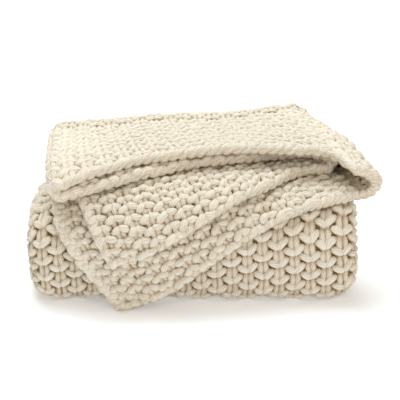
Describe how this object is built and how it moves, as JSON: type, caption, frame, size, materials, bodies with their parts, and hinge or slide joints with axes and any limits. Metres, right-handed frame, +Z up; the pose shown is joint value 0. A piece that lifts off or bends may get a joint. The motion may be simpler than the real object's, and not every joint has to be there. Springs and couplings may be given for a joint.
{
  "type": "folded chunky knit blanket",
  "caption": "Chunky seed-stitch knitted throw in cream yarn, folded into a neat stack with two loose corners hanging slantwise over the front.",
  "frame": {"origin": "centre of the bounding box in plan, on the surface the stack rests on", "axes": "+X to the right along the front fold, +Y from the front fold to the back fold, +Z up"},
  "size_m": [0.418, 0.2766, 0.1881],
  "materials": {
    "cream_yarn": "soft matt multi-strand yarn"
  },
  "bodies": {
    "root": {"blanket": "cream_yarn"}
  },
  "joints": []
}
